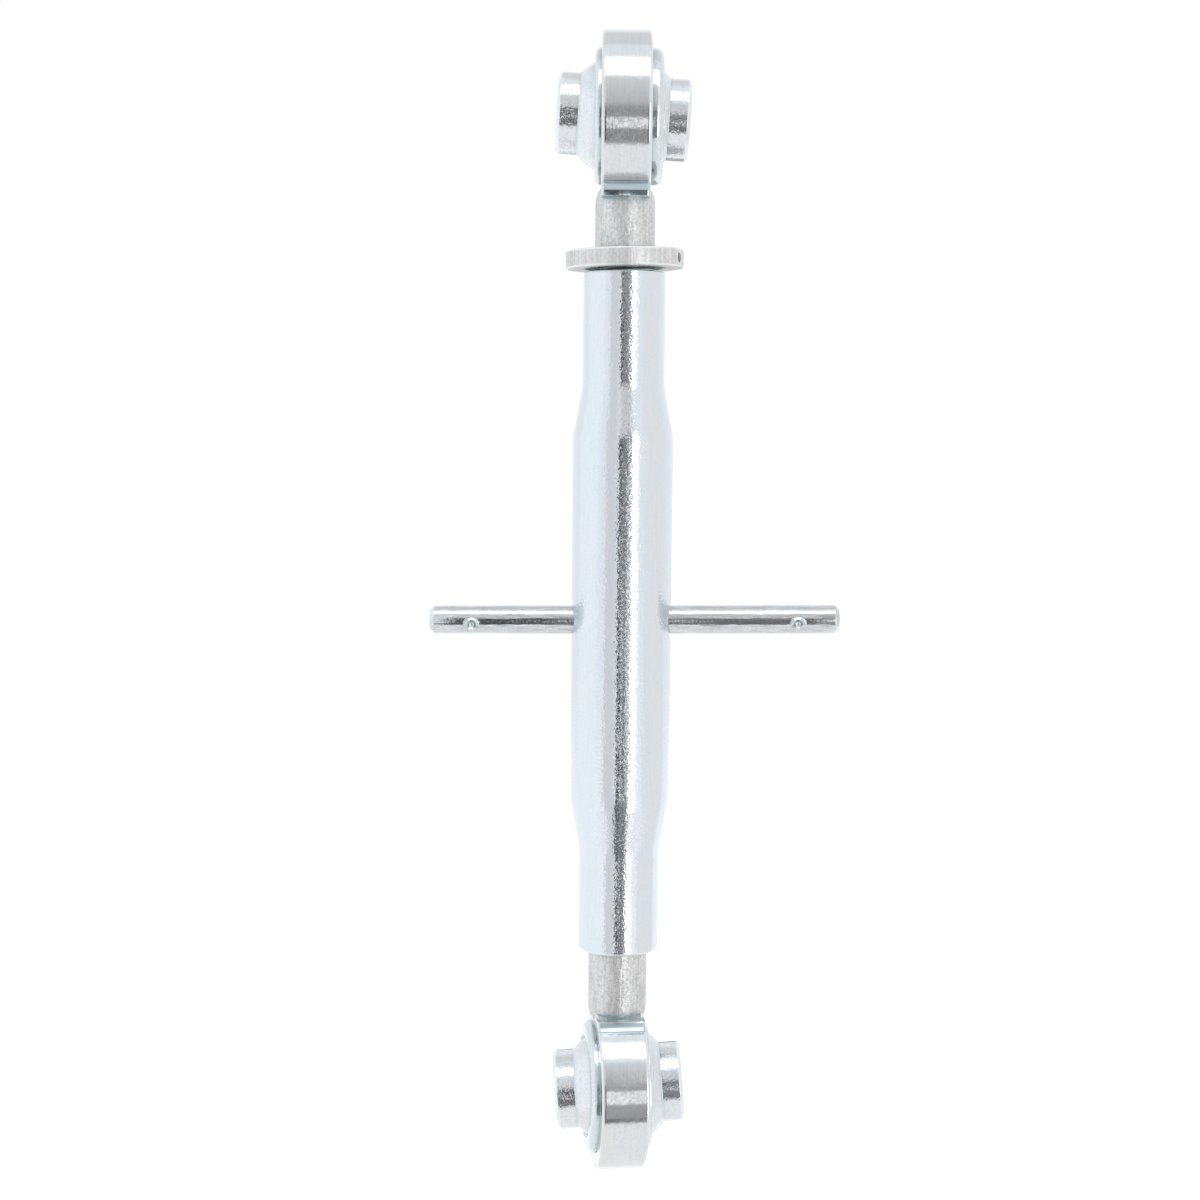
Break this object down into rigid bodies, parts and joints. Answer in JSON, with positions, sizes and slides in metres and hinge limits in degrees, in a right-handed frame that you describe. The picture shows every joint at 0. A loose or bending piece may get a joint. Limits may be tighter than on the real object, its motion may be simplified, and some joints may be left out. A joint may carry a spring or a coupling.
{
  "type": "tractor top link",
  "caption": "Turnbuckle top link for a small tractor: swaged tube barrel with a sliding tommy bar, round lock nut and two threaded ball eyes, bright zinc plated.",
  "frame": {"origin": "centre of the top ball, on the axis of its pin bore", "axes": "+Z along the link towards the top eye, +X along the pins to the right of the picture, +Y away from the camera"},
  "size_m": [0.139, 0.0574, 0.3867],
  "materials": {
    "barrel_zinc": "bright zinc plate over drawn tube",
    "bar_zinc": "bright zinc plate over drawn rod",
    "nut_zinc": "zinc plate over a turned collar",
    "forged_zinc": "satin zinc plate over machined forging",
    "race_zinc": "satin zinc plate over a pressed cup",
    "ball_zinc": "turned, zinc plated"
  },
  "bodies": {
    "top_rod_end": {"top_rod_end": "forged_zinc", "top_ball_race": "race_zinc"},
    "lock_nut": {"lock_nut": "nut_zinc"},
    "barrel": {"barrel": "barrel_zinc"},
    "tommy_bar": {"tommy_bar": "bar_zinc"},
    "bottom_rod_end": {"bottom_rod_end": "forged_zinc", "bottom_ball_race": "race_zinc"},
    "top_ball": {"top_ball": "ball_zinc"},
    "bottom_ball": {"bottom_ball": "ball_zinc"}
  },
  "joints": [
    {"name": "lock_nut_travel", "type": "slide", "parent": "top_rod_end", "child": "lock_nut", "axis": [0, 0, -1], "range_m": [0, 0.07]},
    {"name": "barrel_turn", "type": "hinge", "parent": "lock_nut", "child": "barrel", "pos_m": [0.0009, 0, -0.0514], "axis": [0, 0, -1], "range_deg": [0, 10080]},
    {"name": "tommy_bar_slide", "type": "slide", "parent": "barrel", "child": "tommy_bar", "axis": [0.9999, 0, 0.0105], "range_m": [-0.0427, 0.0335]},
    {"name": "bottom_rod_travel", "type": "slide", "parent": "top_rod_end", "child": "bottom_rod_end", "axis": [0, 0, -1], "range_m": [0, 0.14]},
    {"name": "top_ball_tilt", "type": "hinge", "parent": "top_rod_end", "child": "top_ball", "pos_m": [0, 0, 0], "axis": [0, 1, 0], "range_deg": [-13.1, 6.9]},
    {"name": "bottom_ball_tilt", "type": "hinge", "parent": "bottom_rod_end", "child": "bottom_ball", "pos_m": [0.00179, 0.00011, -0.3307], "axis": [0, 1, 0], "range_deg": [-2, 12]}
  ],
  "couplings": [
    {"joint": "lock_nut_travel", "follows": "barrel_turn", "m_per_rad": 0.00039789},
    {"joint": "bottom_rod_travel", "follows": "barrel_turn", "m_per_rad": 0.00079577}
  ]
}
